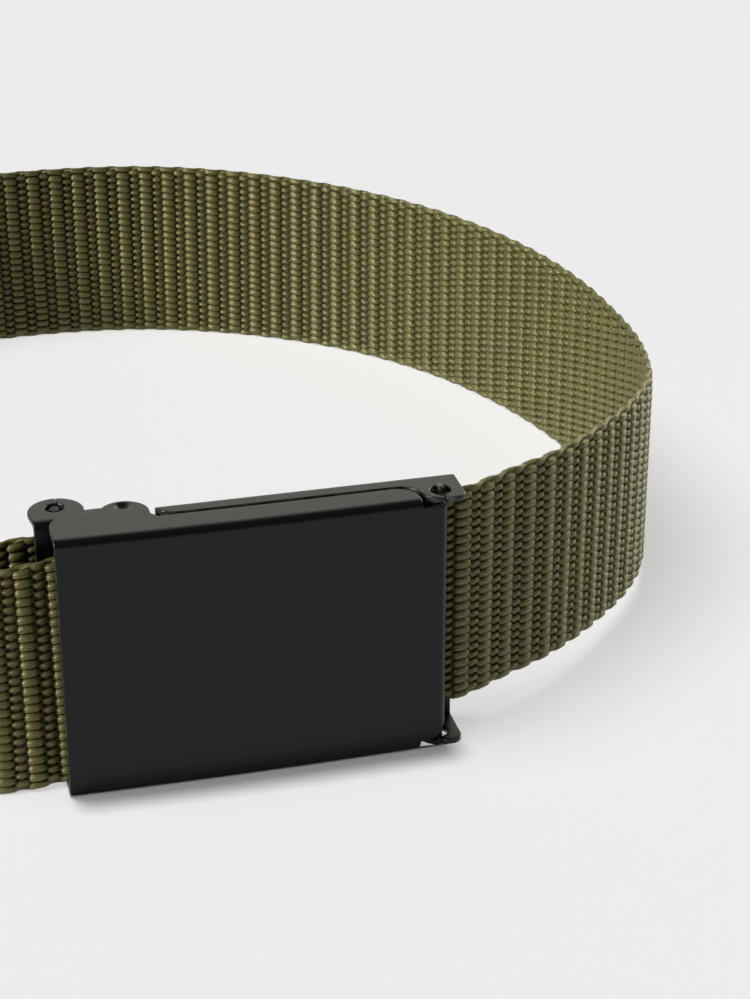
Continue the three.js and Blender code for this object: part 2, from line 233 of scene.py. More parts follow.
def add_camera():
    data = bpy.data.cameras.new("camera")
    data.sensor_width = 36
    data.lens = LENS
    camera = bpy.data.objects.new("camera", data)
    camera.location = placed(*EYE)
    camera.rotation_euler = (QUARTER - math.radians(LOOKING_DOWN), 0, -math.radians(TURNED_RIGHT))
    bpy.context.scene.collection.objects.link(camera)
    bpy.context.scene.camera = camera


# Route of the webbing's middle line, seen from above
# x, y: place; low: height of the lower edge; lean: how far the upper edge stands out past the lower edge

LOOP_CENTRE = (-10, 90)
RIGHT_HALF = [
    (-10, 177.2, 0, 2.4),
    (9, 175.4, 0, 2.4),
    (24, 170.4, 0, 2),
    (39, 161.7, 0, 1),
    (52.5, 150.1, 0, 0.2),
    (64.5, 134.5, 0, 0),
    (73.3, 116, 0, 0),
    (78.4, 97, 0, 0),
    (80.1, 78, 0, 0),
    (79, 60, 0.5, 0),
    (74.6, 44.5, 1.6, 0),
    (68.3, 34, 2.6, 0),
]
RIGHT_NEAR = [
    (60.8, 25.6, 3.3, 0),
    (54, 19.1, 3.9, 0),
    (47, 13.7, 4.4, 0),
    (40.5, 10, 4.7, 0),
    (35.5, 7.1, 4.8, 0),
    (31.6, 5.3, 4.8, 0),
    (27.5, 5.3, 4.6, 0),
]
IN_BUCKLE = [
    (16, 5.3, 4, 0),
    (0, 5.3, 3, 0),
    (-14, 5.1, 1.9, -0.2),
    (-26, 4.5, 1.05, -2.4),
    (-36, 4.4, 0.1, -2.2),
    (-47, 6.6, 0, -0.8),
]
CLAMPED_END = [
    (-18.5, 10.7, 2.35, 0),
    (-27, 10.7, 2.2, 0),
    (-32.5, 10.72, 1.9, 0),
    (-37.5, 10.9, 1.4, 0),
    (-48, 11.8, 0.7, 0),
]
LEFT_NEAR = [
    (-58.5, 14, 0.7, 0),
    (-69, 18.6, 0.4, 0),
    (-79.5, 25.3, 0.2, 0),
]
TAIL_END = (-84.5, 30, 0.2, 0)
TAIL_GAP = 0.5


# The left half is the right half mirrored, resting on its whole edge
def left_half():
    return [(2 * LOOP_CENTRE[0] - x, y, 0, lean) for x, y, _, lean in reversed(RIGHT_HALF[1:])]


# The free end clears the clamped side
def moved_out(rows, distance):
    moved = []
    for x, y, low, lean in rows:
        away = Vector((x - LOOP_CENTRE[0], y - LOOP_CENTRE[1])).normalized() * distance
        moved.append((x + away.x, y + away.y, low, lean))
    return moved


# A smooth curve through points, spaced by the square root of their distance; shares run from 0 to 1
def smooth_through(points, shares):
    points = np.array(points, float)
    before = 2 * points[0] - points[1]
    after = 2 * points[-1] - points[-2]
    padded = np.vstack([before, points, after])
    spans = len(points) - 1
    at = np.clip(np.array(shares) * spans, 0, spans)
    number = np.minimum(at.astype(int), spans - 1)
    part = (at - number)[:, None]
    p0, p1, p2, p3 = (padded[number + k] for k in range(4))
    gap0, gap1, gap2 = (
        np.sqrt(np.linalg.norm(b - a, axis=1))[:, None] for a, b in ((p0, p1), (p1, p2), (p2, p3))
    )
    start = ((p1 - p0) / gap0 - (p2 - p0) / (gap0 + gap1) + (p2 - p1) / gap1) * gap1
    end = ((p2 - p1) / gap1 - (p3 - p1) / (gap1 + gap2) + (p3 - p2) / gap2) * gap1
    square = -3 * p1 + 3 * p2 - 2 * start - end
    cube = 2 * p1 - 2 * p2 + start + end
    return p1 + start * part + square * part**2 + cube * part**3


# Equal steps along the webbing: x, y, height of the lower edge, and lean
def strap_line():
    apart = STRAP_THICKNESS + TAIL_GAP
    rows = [
        *CLAMPED_END,
        *LEFT_NEAR,
        *left_half(),
        *RIGHT_HALF,
        *RIGHT_NEAR,
        *IN_BUCKLE,
        *moved_out([*LEFT_NEAR, TAIL_END], apart),
    ]
    fine = np.linspace(0, 1, ROUTE_SAMPLES)
    path = smooth_through([row[:3] for row in rows], fine)
    leans = smooth_through([(number, 0, row[3]) for number, row in enumerate(rows)], fine)[:, 2]
    along = np.concatenate([[0], np.cumsum(np.linalg.norm(np.diff(path, axis=0), axis=1))])
    steps = round(along[-1] / LINE_STEP)
    even = np.linspace(0, along[-1], steps + 1)
    columns = [np.interp(even, along, path[:, k]) for k in range(3)]
    columns[2] = np.maximum(columns[2], 0)
    columns.append(np.interp(even, along, leans))
    return np.stack(columns, axis=1), along[-1]


STRAP_LINE, STRAP_LENGTH = strap_line()


# Meshes

def add_object(name, mesh):
    made = bpy.data.objects.new(name, mesh)
    bpy.context.scene.collection.objects.link(made)
    return made


def mesh_from(name, points, faces):
    mesh = bpy.data.meshes.new(name)
    mesh.from_pydata([tuple(point) for point in points], [], faces)
    mesh.update()
    return mesh


def shade_smooth(mesh):
    mesh.polygons.foreach_set("use_smooth", [True] * len(mesh.polygons))
    mesh.update()


# Node trees

class Flow:
    # A number or vector that flows through a node tree, so that a formula reads as one
    def __init__(self, tree, socket):
        self.tree = tree
        self.socket = socket

    def join(self, kind, operation, others):
        node = self.tree.nodes.new(kind)
        node.operation = operation
        for socket, value in zip(node.inputs, (self, *others)):
            feed(self.tree, socket, value)
        return Flow(self.tree, node.outputs[0])

    def maths(self, operation, *others):
        return self.join("ShaderNodeMath", operation, others)

    def vector(self, operation, *others):
        return self.join("ShaderNodeVectorMath", operation, others)

    def __add__(self, other):
        return self.maths("ADD", other)

    def __radd__(self, other):
        return self.maths("ADD", other)

    def __sub__(self, other):
        return self.maths("SUBTRACT", other)

    def __rsub__(self, other):
        return (self * -1) + other

    def __mul__(self, other):
        return self.maths("MULTIPLY", other)

    def __truediv__(self, other):
        return self.maths("DIVIDE", other)

    def clamped(self):
        return self.maths("MAXIMUM", 0.0).maths("MINIMUM", 1.0)

    def scaled(self, amount):
        node = self.tree.nodes.new("ShaderNodeVectorMath")
        node.operation = "SCALE"
        feed(self.tree, node.inputs[0], self)
        feed(self.tree, node.inputs["Scale"], amount)
        return Flow(self.tree, node.outputs[0])

    def part(self, axis):
        node = self.tree.nodes.new("ShaderNodeSeparateXYZ")
        feed(self.tree, node.inputs[0], self)
        return Flow(self.tree, node.outputs[axis])


def feed(tree, socket, value):
    if isinstance(value, Flow):
        tree.links.new(value.socket, socket)
    else:
        socket.default_value = value


def combined(tree, x, y, z):
    node = tree.nodes.new("ShaderNodeCombineXYZ")
    for socket, value in zip(node.inputs, (x, y, z)):
        feed(tree, socket, value)
    return Flow(tree, node.outputs[0])


def noise(tree, vector, scale, detail):
    node = tree.nodes.new("ShaderNodeTexNoise")
    node.inputs["Scale"].default_value = scale
    node.inputs["Detail"].default_value = detail
    feed(tree, node.inputs["Vector"], vector)
    return Flow(tree, node.outputs[0])


# Of a node's inputs of one name, one for each data type, the one in use
def live_input(node, name):
    return next(socket for socket in node.inputs if socket.name == name and socket.enabled)


# The sockets of a tree that lays yarn along the webbing: sizes by name, and what they stand for in metres
def yarn_tree(name, sizes):
    tree = bpy.data.node_groups.new(name, "GeometryNodeTree")
    tree.interface.new_socket(name="Geometry", in_out="OUTPUT", socket_type="NodeSocketGeometry")
    tree.interface.new_socket(name="Geometry", in_out="INPUT", socket_type="NodeSocketGeometry")
    tree.interface.new_socket(name="Material", in_out="INPUT", socket_type="NodeSocketMaterial")
    for size in sizes:
        tree.interface.new_socket(name=size, in_out="INPUT", socket_type="NodeSocketFloat")
    given = tree.nodes.new("NodeGroupInput")
    values = {size: Flow(tree, given.outputs[size]) for size in sizes}
    line = tree.nodes.new("GeometryNodeMeshToCurve")
    tree.links.new(given.outputs["Geometry"], line.inputs["Mesh"])
    length = tree.nodes.new("GeometryNodeCurveLength")
    tree.links.new(line.outputs["Curve"], length.inputs["Curve"])
    values["Length"] = Flow(tree, length.outputs["Length"])
    return tree, given, line, values


# A flat grid whose x runs along a yarn and whose y runs round it, both from 0 to 1
def unrolled(tree, steps, sides):
    grid = tree.nodes.new("GeometryNodeMeshGrid")
    feed(tree, grid.inputs["Vertices X"], steps + 1)
    feed(tree, grid.inputs["Vertices Y"], sides + 1)
    return grid


# Where the webbing is at a distance along it: the lower edge, the way outwards, and the lean
def on_strap(tree, line, distance):
    lean = tree.nodes.new("GeometryNodeInputNamedAttribute")
    lean.data_type = "FLOAT"
    lean.inputs["Name"].default_value = "lean"
    sample = tree.nodes.new("GeometryNodeSampleCurve")
    sample.mode = "LENGTH"
    sample.use_all_curves = True
    sample.data_type = "FLOAT"
    tree.links.new(line.outputs["Curve"], sample.inputs["Curves"])
    tree.links.new(lean.outputs["Attribute"], live_input(sample, "Value"))
    feed(tree, sample.inputs["Length"], distance)
    tangent = Flow(tree, sample.outputs["Tangent"])
    outward = combined(tree, tangent.part(1) * -1, tangent.part(0), 0.0).vector("NORMALIZE")
    return Flow(tree, sample.outputs["Position"]), outward, Flow(tree, sample.outputs["Value"]), tangent


def stored(tree, geometry, name, data_type, domain, value):
    node = tree.nodes.new("GeometryNodeStoreNamedAttribute")
    node.data_type = data_type
    node.domain = domain
    node.inputs["Name"].default_value = name
    tree.links.new(geometry, node.inputs["Geometry"])
    feed(tree, live_input(node, "Value"), value)
    return node.outputs["Geometry"]


# The end of a yarn tree: points put in place, seams closed, smooth shading, no instances, and the material
def laid(tree, given, geometry, place):
    moved = tree.nodes.new("GeometryNodeSetPosition")
    tree.links.new(geometry, moved.inputs["Geometry"])
    feed(tree, moved.inputs["Position"], place)
    closed = tree.nodes.new("GeometryNodeMergeByDistance")
    closed.inputs["Distance"].default_value = YARN_WELD * MM
    tree.links.new(moved.outputs["Geometry"], closed.inputs["Geometry"])
    smooth = tree.nodes.new("GeometryNodeSetShadeSmooth")
    tree.links.new(closed.outputs["Geometry"], smooth.inputs["Geometry"])
    whole = tree.nodes.new("GeometryNodeRealizeInstances")
    tree.links.new(smooth.outputs["Geometry"], whole.inputs["Geometry"])
    painted = tree.nodes.new("GeometryNodeSetMaterial")
    tree.links.new(whole.outputs["Geometry"], painted.inputs["Geometry"])
    tree.links.new(given.outputs["Material"], painted.inputs["Material"])
    result = tree.nodes.new("NodeGroupOutput")
    tree.links.new(painted.outputs["Geometry"], result.inputs["Geometry"])


WARP_SIZES = {
    "First yarn": 0,
    "Yarns here": YARNS_IN_A_PIECE,
    "Yarns in all": WARP_YARNS,
    "Width": STRAP_WIDTH * MM,
    "First yarn up": FIRST_YARN_UP * MM,
    "Repeat": REPEAT * MM,
    "Steps per repeat": STEPS_PER_REPEAT,
    "Sides": YARN_SIDES,
    "Rise over thick pick": THICK_RISE * MM,
    "Rise over thin pick": THIN_RISE * MM,
    "Float depth": FLOAT_DEEP * MM,
    "Float width": FLOAT_WIDE * MM,
    "Thread depth": THREAD_DEEP * MM,
    "Thread width": THREAD_WIDE * MM,
    "Edge yarn width": EDGE_YARN_WIDE * MM,
    "Shoulder moved out": SHOULDER_OUT * MM,
    "Crossing moved in": CROSSING_IN * MM,
    "End taper": YARN_END_TAPER * MM,
}


def warp_tree():
    tree, given, line, size = yarn_tree("lay_warp_yarns", WARP_SIZES)
    steps = (size["Length"] / size["Repeat"] * size["Steps per repeat"]).maths("ROUND")
    grid = unrolled(tree, steps, size["Sides"])
    rows = tree.nodes.new("GeometryNodeMeshLine")
    rows.inputs["Offset"].default_value = (0, 0, 1)
    feed(tree, rows.inputs["Count"], size["Yarns here"])
    copies = tree.nodes.new("GeometryNodeInstanceOnPoints")
    tree.links.new(rows.outputs["Mesh"], copies.inputs["Points"])
    tree.links.new(grid.outputs["Mesh"], copies.inputs["Instance"])
    real = tree.nodes.new("GeometryNodeRealizeInstances")
    tree.links.new(copies.outputs["Instances"], real.inputs["Geometry"])

    # Each grid stands at the height of its yarn's number
    here = Flow(tree, tree.nodes.new("GeometryNodeInputPosition").outputs[0])
    share = here.part(0) + 0.5
    turn = here.part(1) + 0.5
    yarn = (here.part(2) + size["First yarn"]).maths("ROUND")

    # Every other yarn lies over the thick picks on the outer face, and the rest on the inner face
    face = 1 - yarn.maths("MODULO", 2.0) * 2
    phase = share * size["Length"] / size["Repeat"] * (2 * HALF_TURN)
    moved_out = (phase * 2).maths("SINE") * size["Shoulder moved out"]
    moved_in = phase.maths("SINE") * size["Crossing moved in"]
    distance = share * size["Length"] + moved_out - moved_in
    wave = phase.maths("COSINE")
    steep = wave * ((1 + CREST_FLATNESS) - wave * wave * CREST_FLATNESS)
    mean = (size["Rise over thick pick"] + size["Rise over thin pick"]) * 0.5
    more = (size["Rise over thick pick"] - size["Rise over thin pick"]) * 0.5
    rise = steep * mean + steep.maths("ABSOLUTE") * more
    # Painted light and shade: a yarn is coloured lighter where it stands out on either face, and darker
    # where it crosses between the faces
    painted_light = (rise.maths("ABSOLUTE") / size["Rise over thick pick"]).maths("MINIMUM", 1.0)
    spread = steep.maths("MAXIMUM", 0.0).maths("POWER", FLOAT_FULLNESS)
    uneven = noise(tree, combined(tree, distance * UNEVEN_ALONG, yarn * UNEVEN_ACROSS, 0.0), 1.0, 1.0) - 0.5

    # How wide and deep the yarn is here: less along the edges, and nothing at its two ends
    last = size["Yarns in all"] - 1
    pitch = (size["Width"] - size["First yarn up"] * 2) / last
    up = size["First yarn up"] + yarn * pitch
    inner = (yarn.maths("MINIMUM", last - yarn) / EDGE_YARNS).maths("MINIMUM", 1.0)
    near_end = distance.maths("MINIMUM", size["Length"] - distance) / size["End taper"]
    end_angle = near_end.maths("MINIMUM", 1.0) * QUARTER
    taper = end_angle.maths("SINE").maths("MAXIMUM", 0.0)
    woven = size["Thread width"] + (size["Float width"] - size["Thread width"]) * spread
    wide = (woven * inner + size["Edge yarn width"] * (1 - inner)) * taper
    deep = (size["Thread depth"] + (size["Float depth"] - size["Thread depth"]) * spread) * taper

    # A flat side of the yarn faces outwards
    half_side = size["Sides"].maths("POWER", -1.0) * HALF_TURN
    around = turn * (2 * HALF_TURN) + half_side
    foot, outward, lean, _ = on_strap(tree, line, distance)
    crossing = face * rise * (EDGE_YARN_RISE + inner * (1 - EDGE_YARN_RISE)) * (1 + uneven * UNEVEN_RISE)
    leaning = lean * (up / size["Width"] - 0.5)
    out = crossing + leaning + around.maths("COSINE") * deep / half_side.maths("COSINE")
    height = up + around.maths("SINE") * wide + uneven * (UNEVEN_UP * MM)
    place = foot.vector("ADD", outward.scaled(out)).vector("ADD", combined(tree, 0.0, 0.0, height))

    mapped = stored(
        tree, real.outputs["Geometry"], "yarn_map", "FLOAT2", "CORNER",
        combined(tree, distance / size["Repeat"], yarn + turn, 0.0),
    )
    with_painted_light = stored(tree, mapped, "painted_light", "FLOAT", "POINT", painted_light)
    laid(tree, given, with_painted_light, place)
    return tree


WEFT_SIZES = {
    "Width": STRAP_WIDTH * MM,
    "Repeat": REPEAT * MM,
    "Steps per pick": WEFT_STEPS,
    "Sides": WEFT_SIDES,
    "Turn height": WEFT_TURN_HEIGHT * MM,
    "Turn rise": WEFT_TURN_RISE * MM,
    "Straight share": WEFT_STRAIGHT_SHARE,
    "Wide": WEFT_WIDE * MM,
    "Deep": WEFT_DEEP * MM,
    "Round": WEFT_ROUND * MM,
}


def weft_tree():
    tree, given, line, size = yarn_tree("lay_weft_yarn", WEFT_SIZES)
    picks = (size["Length"] / size["Repeat"] * 2).maths("FLOOR") - 1
    grid = unrolled(tree, picks * size["Steps per pick"], size["Sides"])
    here = Flow(tree, tree.nodes.new("GeometryNodeInputPosition").outputs[0])
    travelled = (here.part(0) + 0.5) * picks
    turn = here.part(1) + 0.5

    # Every pick is a straight run and then a half turn round the edge, upwards and downwards by turns
    pick = (travelled + PICK_GUARD).maths("FLOOR")
    part = (travelled - pick).maths("MAXIMUM", 0.0)
    way = 1 - pick.maths("MODULO", 2.0) * 2
    radius = size["Repeat"] / 4
    straight = (part / size["Straight share"]).maths("MINIMUM", 1.0)
    bend = ((part - size["Straight share"]) / (1 - size["Straight share"])).maths("MAXIMUM", 0.0) * HALF_TURN
    distance = (pick + 1) * size["Repeat"] / 2 + radius * (1 - bend.maths("COSINE"))
    reach = size["Turn height"] - size["Turn rise"]
    above = way * (reach * (straight * 2 - 1) + size["Turn rise"] * bend.maths("SINE"))

    # The yarn is flat between the edges, round in its turns, and nothing at its two ends
    near_end = travelled.maths("MINIMUM", picks - travelled)
    taper = (near_end * WEFT_END_STEEPNESS).clamped()
    rounder = bend.maths("SINE")
    wide = (size["Wide"] + (size["Round"] - size["Wide"]) * rounder) * taper
    deep = (size["Deep"] + (size["Round"] - size["Deep"]) * rounder) * taper
    around = turn * (2 * HALF_TURN)
    foot, outward, lean, tangent = on_strap(tree, line, distance)
    side = around.maths("COSINE") * wide
    forward = side * way * bend.maths("COSINE")
    up = size["Width"] * 0.5 + above - side * bend.maths("SINE")
    out = around.maths("SINE") * deep + lean * (up / size["Width"] - 0.5)
    place = foot.vector("ADD", outward.scaled(out)).vector("ADD", tangent.scaled(forward))
    place = place.vector("ADD", combined(tree, 0.0, 0.0, up))
    mapped = stored(
        tree, grid.outputs["Mesh"], "yarn_map", "FLOAT2", "CORNER",
        combined(tree, travelled * WEFT_MAP_LENGTH, turn, 0.0),
    )
    # Painted light and shade: the turns at the edges and the yarn's inner side are coloured lighter, the
    # straight picks darker
    inner_side = (0 - around.maths("SINE")).maths("MAXIMUM", 0.0)
    painted_light = rounder + inner_side * WEFT_INNER_PAINTED_LIGHT - WEFT_PAINTED_SHADE
    with_painted_light = stored(tree, mapped, "painted_light", "FLOAT", "POINT", painted_light)
    laid(tree, given, with_painted_light, place)
    return tree


# The webbing's lower edge as a line of points that carry the lean
def add_strap_line():
    mesh = bpy.data.meshes.new("strap_line")
    points = [placed(x, y, low) for x, y, low, _ in STRAP_LINE]
    mesh.from_pydata(points, [(k, k + 1) for k in range(len(points) - 1)], [])
    lean = mesh.attributes.new("lean", "FLOAT", "POINT")
    lean.data.foreach_set("value", (STRAP_LINE[:, 3] * MM).astype(np.float32))
    return add_object("strap_line", mesh)


# Runs a yarn tree on the line and keeps the result as a plain mesh
def yarn_piece(name, line, tree, sizes, material):
    modifier = line.modifiers.new(name, "NODES")
    modifier.node_group = tree
    for item in tree.interface.items_tree:
        if item.in_out == "INPUT" and item.name in sizes:
            modifier[item.identifier] = float(sizes[item.name])
        if item.in_out == "INPUT" and item.name == "Material":
            modifier[item.identifier] = material
    ready = line.evaluated_get(bpy.context.evaluated_depsgraph_get())
    mesh = bpy.data.meshes.new_from_object(ready)
    line.modifiers.remove(modifier)
    mesh.name = name
    turn_outwards(mesh)
    return add_object(name, mesh)


# Turns a closed mesh right side out
def turn_outwards(mesh):
    mesh.calc_loop_triangles()
    places = np.zeros(len(mesh.vertices) * 3)
    mesh.vertices.foreach_get("co", places)
    corners = np.zeros(len(mesh.loop_triangles) * 3, int)
    mesh.loop_triangles.foreach_get("vertices", corners)
    a, b, c = places.reshape(-1, 3)[corners.reshape(-1, 3)].transpose(1, 0, 2)
    if (a * np.cross(b, c)).sum() < 0:
        mesh.flip_normals()
    mesh.update()


# The flat band in the middle of the webbing, which closes the small holes of the weave
def core_mesh():
    heading = np.gradient(STRAP_LINE[:, :2], axis=0)
    heading /= np.linalg.norm(heading, axis=1)[:, None]
    outward = np.stack([-heading[:, 1], heading[:, 0]], axis=1)
    half = CORE_THICKNESS / 2
    margin = (STRAP_WIDTH - CORE_WIDTH) / 2
    corners = [(-half, margin), (half, margin), (half, STRAP_WIDTH - margin), (-half, STRAP_WIDTH - margin)]
    points = []
    for (x, y, low, lean), (out_x, out_y) in zip(STRAP_LINE, outward):
        for across, up in corners:
            off = across + lean * (up / STRAP_WIDTH - 0.5)
            points.append(placed(x + out_x * off, y + out_y * off, low + up))
    rings = len(STRAP_LINE)
    faces = [(0, 1, 2, 3), tuple(4 * (rings - 1) + k for k in (3, 2, 1, 0))]
    for ring in range(rings - 1):
        for k in range(4):
            a = 4 * ring + k
            b = 4 * ring + (k + 1) % 4
            faces.append((a, a + 4, b + 4, b))
    mesh = mesh_from("webbing_core", points, faces)
    turn_outwards(mesh)
    return mesh


# Sheet metal: a flat blank, cut out, folded and given its thickness and its rounded edges

def arc(centre_x, centre_y, radius, start, end, count=ARC_POINTS):
    angles = np.radians(np.linspace(start, end, count))
    return [(centre_x + radius * math.cos(a), centre_y + radius * math.sin(a)) for a in angles]


# A loop moved into the material by a distance; the material is on its left
def inset(loop, distance):
    ahead = np.roll(loop, -1, axis=0) - loop
    ahead /= np.linalg.norm(ahead, axis=1)[:, None]
    left = np.stack([-ahead[:, 1], ahead[:, 0]], axis=1)
    before = np.roll(left, 1, axis=0)
    share = 1 + (left * before).sum(axis=1)
    return loop + distance * (left + before) / np.maximum(share, LEAST_MITRE)[:, None]


def without_doubles(loop):
    loop = np.array(loop, float)
    gap = np.linalg.norm(loop - np.roll(loop, 1, axis=0), axis=1)
    return loop[gap > DOUBLED_GAP]


# Places on each side of a loop where it crosses the cutting lines, as side number and share
def crossings(loop, cuts_x, cuts_t):
    found = []
    for number, (a, b) in enumerate(zip(loop, np.roll(loop, -1, axis=0))):
        shares = {0.0}
        for axis, cuts in ((0, cuts_x), (1, cuts_t)):
            run = b[axis] - a[axis]
            if abs(run) <= NO_RUN:
                continue
            for cut in cuts:
                share = (cut - a[axis]) / run
                if NEAR_CORNER < share < 1 - NEAR_CORNER:
                    shares.add(round(share, 9))
        found += [(number, share) for share in sorted(shares)]
    return found


def with_points(loop, spots):
    number = np.array([spot[0] for spot in spots])
    share = np.array([spot[1] for spot in spots])[:, None]
    return loop[number] * (1 - share) + np.roll(loop, -1, axis=0)[number] * share


def inside(points, loop):
    odd = np.zeros(len(points), bool)
    for (ax, ay), (bx, by) in zip(loop, np.roll(loop, -1, axis=0)):
        crosses = (ay > points[:, 1]) != (by > points[:, 1])
        if ay != by:
            where = ax + (points[:, 1] - ay) * (bx - ax) / (by - ay)
            odd ^= crosses & (points[:, 0] < where)
    return odd


# Depths and insets of the rings that round a sheet's edge, from its outer face to its inner one
def edge_rings():
    corner = EDGE_RADIUS * (1 - math.sqrt(0.5))
    outer = [(EDGE_RADIUS + EDGE_SUPPORT, 0), (EDGE_RADIUS, 0), (corner, corner), (0, EDGE_RADIUS)]
    return outer + [(distance, SHEET - depth) for distance, depth in reversed(outer)]


# The outline runs anticlockwise, in blank coordinates x and t; place folds it
def sheet_mesh(name, outline, cuts_x, cuts_t, place):
    rings = edge_rings()
    loop = without_doubles(outline)
    spots = crossings(inset(loop, rings[0][0]), cuts_x, cuts_t)
    split = [with_points(inset(loop, gap), spots) for gap, _ in rings]

    flat = split[0]
    size = len(flat)
    edges = [(k, (k + 1) % size) for k in range(size)]
    low = flat.min(axis=0) - PAST_BLANK
    high = flat.max(axis=0) + PAST_BLANK
    points = [Vector(point) for point in flat]
    for cut in cuts_x:
        edges.append((len(points), len(points) + 1))
        points += [Vector((cut, low[1])), Vector((cut, high[1]))]
    for cut in cuts_t:
        edges.append((len(points), len(points) + 1))
        points += [Vector((low[0], cut)), Vector((high[0], cut))]
    found, _, triangles, origins, _, _ = delaunay_2d_cdt(points, edges, [], 0, CUT_GAP)
    found = np.array([tuple(point) for point in found])
    triangles = np.array([tuple(face) for face in triangles])
    kept = triangles[inside(found[triangles].mean(axis=1), flat)]

    shown = np.unique(kept)
    number = {old: new for new, old in enumerate(shown)}
    border = {}
    for old in shown:
        for given in origins[old]:
            if given < size:
                border[given] = number[old]
    count = len(shown)
    places = [place(x, t, 0) for x, t in found[shown]] + [place(x, t, SHEET) for x, t in found[shown]]
    faces = [tuple(number[k] for k in face) for face in kept]
    faces += [tuple(count + number[k] for k in reversed(face)) for face in kept]
    worn = [0.0] * len(places)
    numbers = [[border[k] for k in range(size)]]
    for level in range(1, len(rings) - 1):
        depth = rings[level][1]
        begin = len(places)
        places += [place(x, t, depth) for x, t in split[level]]
        worn += [float(1 < level < len(rings) - 2)] * size
        numbers.append(list(range(begin, begin + size)))
    numbers.append([count + border[k] for k in range(size)])
    for a, b in edges[:size]:
        for upper, lower in zip(numbers, numbers[1:]):
            faces.append((upper[b], upper[a], lower[a], lower[b]))
    mesh = mesh_from(name, [placed(*point) for point in places], faces)
    mesh.attributes.new("edge_wear", "FLOAT", "POINT").data.foreach_set("value", worn)
    turn_outwards(mesh)
    shade_smooth(mesh)
    return mesh


# Both halves of a blank are written upwards from its middle line, and the lower one is turned over
def whole_blank(upper, lower):
    return upper + [(x, -t) for x, t in reversed(lower)]


def both_halves(cuts):
    return sorted({round(side * cut, 6) for cut in cuts for side in (1, -1)})


# Cutting lines through a fold, with one more beside it on each side
def fold_cuts(start, length, steps=FOLD_STEPS):
    inner = [start + length * k / steps for k in range(steps + 1)]
    return [start - FOLD_SUPPORT, *inner, start + length + FOLD_SUPPORT]


# Cover

FACE_HALF = MIDDLE_UP - FOLD_RADIUS
FLANGE_START = FACE_HALF + FOLD_LENGTH
LIP_FOLD = COVER_HALF_LENGTH - FOLD_RADIUS


def bulge(x):
    return COVER_CROWN * (1 - (min(x, LIP_FOLD) / COVER_HALF_LENGTH) ** 2)


# Outline of one flange, from its right end over the snap lobe to the left end
def flange_edge():
    left = -COVER_HALF_LENGTH
    rear = COVER_FLANGE["rear"]
    right = COVER_FLANGE["right"]
    left_radius = COVER_FLANGE["left_radius"]
    right_radius = COVER_FLANGE["right_radius"]
    lobe_end = 180 - math.degrees(math.asin((LOBE["rear"] - LOBE["y"]) / LOBE["radius"]))
    lobe_right = LOBE["x"] + LOBE["radius"]
    plan = [
        *arc(right - right_radius, rear - right_radius, right_radius, 0, 90),
        (lobe_right + LOBE["slope_run"], rear),
        (lobe_right, rear + LOBE["slope_rise"]),
        *arc(LOBE["x"], LOBE["y"], LOBE["radius"], 0, lobe_end, 2 * ARC_POINTS),
        *arc(left + left_radius, LOBE["rear"] - left_radius, left_radius, 90, 180),
    ]
    return [(x, FLANGE_START + y + bulge(x) - FOLD_RADIUS) for x, y in plan]


# One end of the lip with its hinge tab, and the face's corner, which is either round or square
def lip_end(tab_front, tab_top, lip_top, corner):
    past_fold = LIP_FOLD + FOLD_LENGTH - FOLD_RADIUS
    return [
        (past_fold + LIP_REAR, lip_top - LIP_REAR_SHORT),
        (past_fold + TAB_REAR, lip_top + TAB_ROOT),
        (past_fold + TAB_REAR, tab_top),
        (past_fold + tab_front, tab_top),
        (past_fold + tab_front, lip_top),
        *corner,
        (COVER_FLANGE["right"], MIDDLE_UP - FACE_STEP),
    ]


def cover_blank():
    step = MIDDLE_UP - FACE_STEP
    radius = FACE_CORNER_RADIUS
    low_end = MIDDLE_UP - LIP_MARGIN
    corner_start = math.degrees(math.asin((low_end - step + radius) / radius))
    corner = arc(COVER_HALF_LENGTH - radius, step - radius, radius, corner_start, 90, CORNER_POINTS)
    flange = flange_edge()
    upper = lip_end(HIGH_TAB_FRONT, MIDDLE_UP + HIGH_TAB_PROUD, step, []) + flange
    lower = lip_end(LOW_TAB_FRONT, MIDDLE_UP - LOW_TAB_SHORT, low_end, corner) + flange
    return whole_blank(upper, lower)


def cover_place(x, t, depth):
    side = 1 if t > 0 else -1
    half = abs(t)
    if x > LIP_FOLD:
        angle = min((x - LIP_FOLD) / FOLD_RADIUS, QUARTER)
        past = max(0, x - LIP_FOLD - FOLD_LENGTH)
        across = LIP_FOLD + (FOLD_RADIUS - depth) * math.sin(angle)
        back = FOLD_RADIUS - (FOLD_RADIUS - depth) * math.cos(angle) + past
        return across, back - bulge(x), MIDDLE_UP + t
    angle = min(max(half - FACE_HALF, 0) / FOLD_RADIUS, QUARTER)
    past = max(0, half - FLANGE_START)
    back = FOLD_RADIUS - (FOLD_RADIUS - depth) * math.cos(angle) + past - bulge(x)
    height = min(half, FACE_HALF) + (FOLD_RADIUS - depth) * math.sin(angle)
    if past > 0:
        away = math.hypot(x - LOBE["x"], back - DIMPLE["y"]) / DIMPLE["radius"]
        dent = DIMPLE["depth"] * max(0, 1 - away**2) ** DIMPLE["power"]
        height -= dent * (1 - depth / SHEET)
    return x, back, MIDDLE_UP + side * height


def cover_mesh():
    dimple_t = FLANGE_START + DIMPLE["y"] + bulge(LOBE["x"]) - FOLD_RADIUS
    steps = [k * DIMPLE["grid"] for k in range(-DIMPLE["cuts"], DIMPLE["cuts"] + 1)]
    cuts_x = [*CROWN_CUTS, *(LOBE["x"] + step for step in steps), *fold_cuts(LIP_FOLD, FOLD_LENGTH)]
    cuts_t = [0, *fold_cuts(FACE_HALF, FOLD_LENGTH), *(dimple_t + step for step in steps)]
    return sheet_mesh("buckle_cover_sheet", cover_blank(), sorted(cuts_x), both_halves(cuts_t), cover_place)


# Frame

